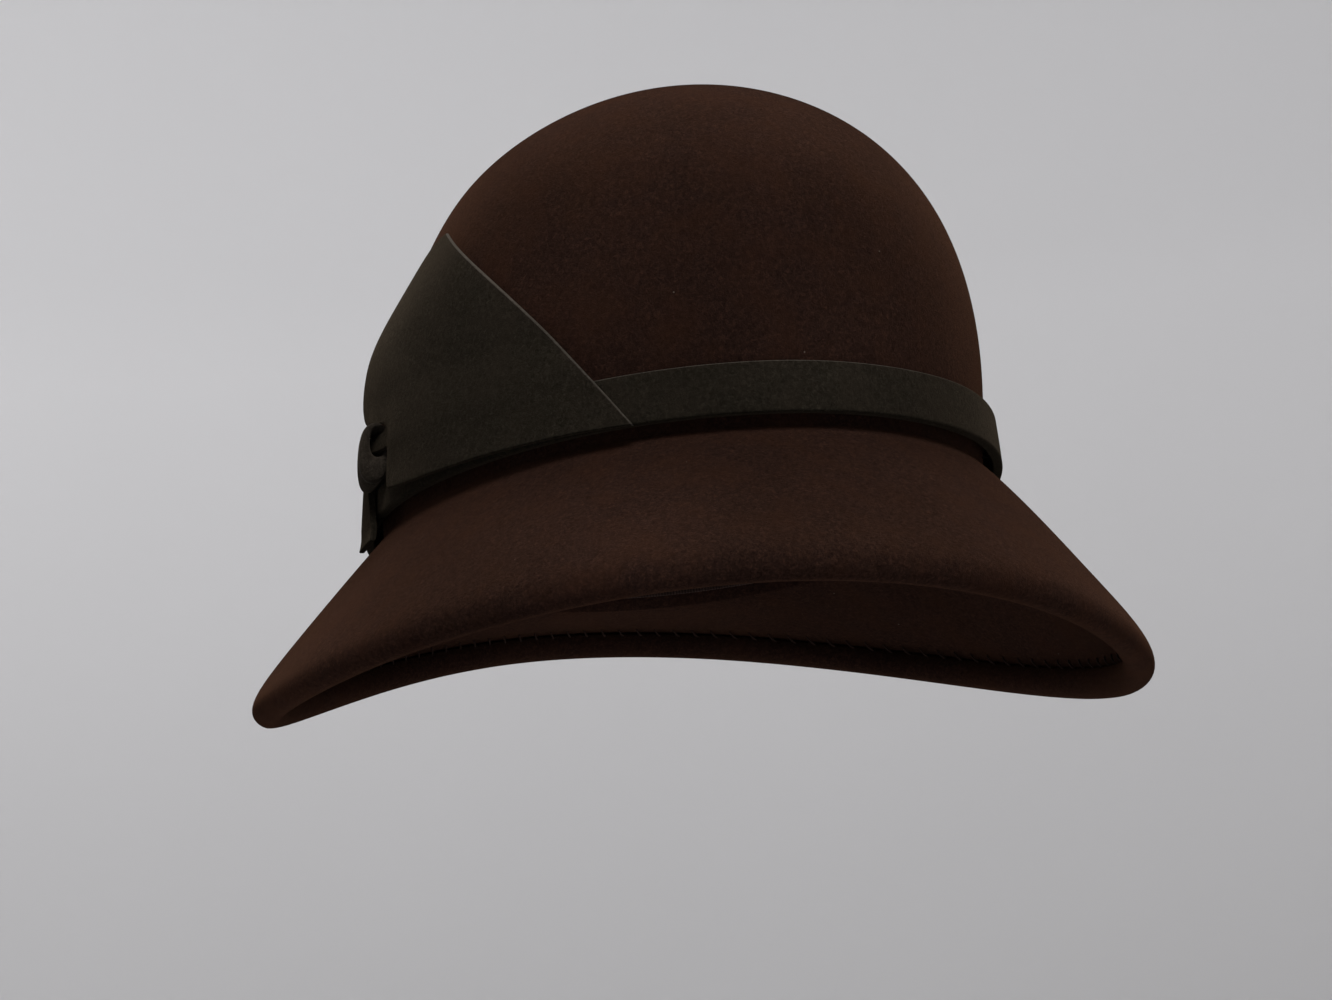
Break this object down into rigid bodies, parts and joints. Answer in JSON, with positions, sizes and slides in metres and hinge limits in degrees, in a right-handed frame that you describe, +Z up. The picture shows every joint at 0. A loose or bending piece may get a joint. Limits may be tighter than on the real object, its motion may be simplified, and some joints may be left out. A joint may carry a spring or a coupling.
{
  "type": "felt cloche hat",
  "caption": "Domed felt cloche with a down-turned brim, a rolled wired edge, a narrow felt band and a wide side flap gathered through a loop.",
  "frame": {"origin": "middle of the head opening, in the plane where the crown meets the brim", "axes": "+Z up through the crown, -Y towards the wearer's front, +X towards the wearer's left"},
  "size_m": [0.2622, 0.2799, 0.1863],
  "materials": {
    "felt_brown": "matte felt with short nap",
    "felt_taupe": "matte felt with short nap",
    "ribbon": "ribbed ribbon",
    "thread": "matte thread",
    "label": "woven tape",
    "wire": "satin",
    "sleeve": "satin"
  },
  "bodies": {
    "root": {"felt_body": "felt_brown", "brim_wire": "wire", "wire_joiner": "sleeve", "edge_stitches": "thread", "sweatband": "ribbon", "sweatband_stitches": "thread", "size_label": "label", "label_stitches": "thread", "hat_band": "felt_taupe", "band_tacks": "thread", "side_flap": "felt_taupe", "knot_loop": "felt_taupe", "tail": "felt_taupe", "knot_tacks": "thread"}
  },
  "joints": []
}
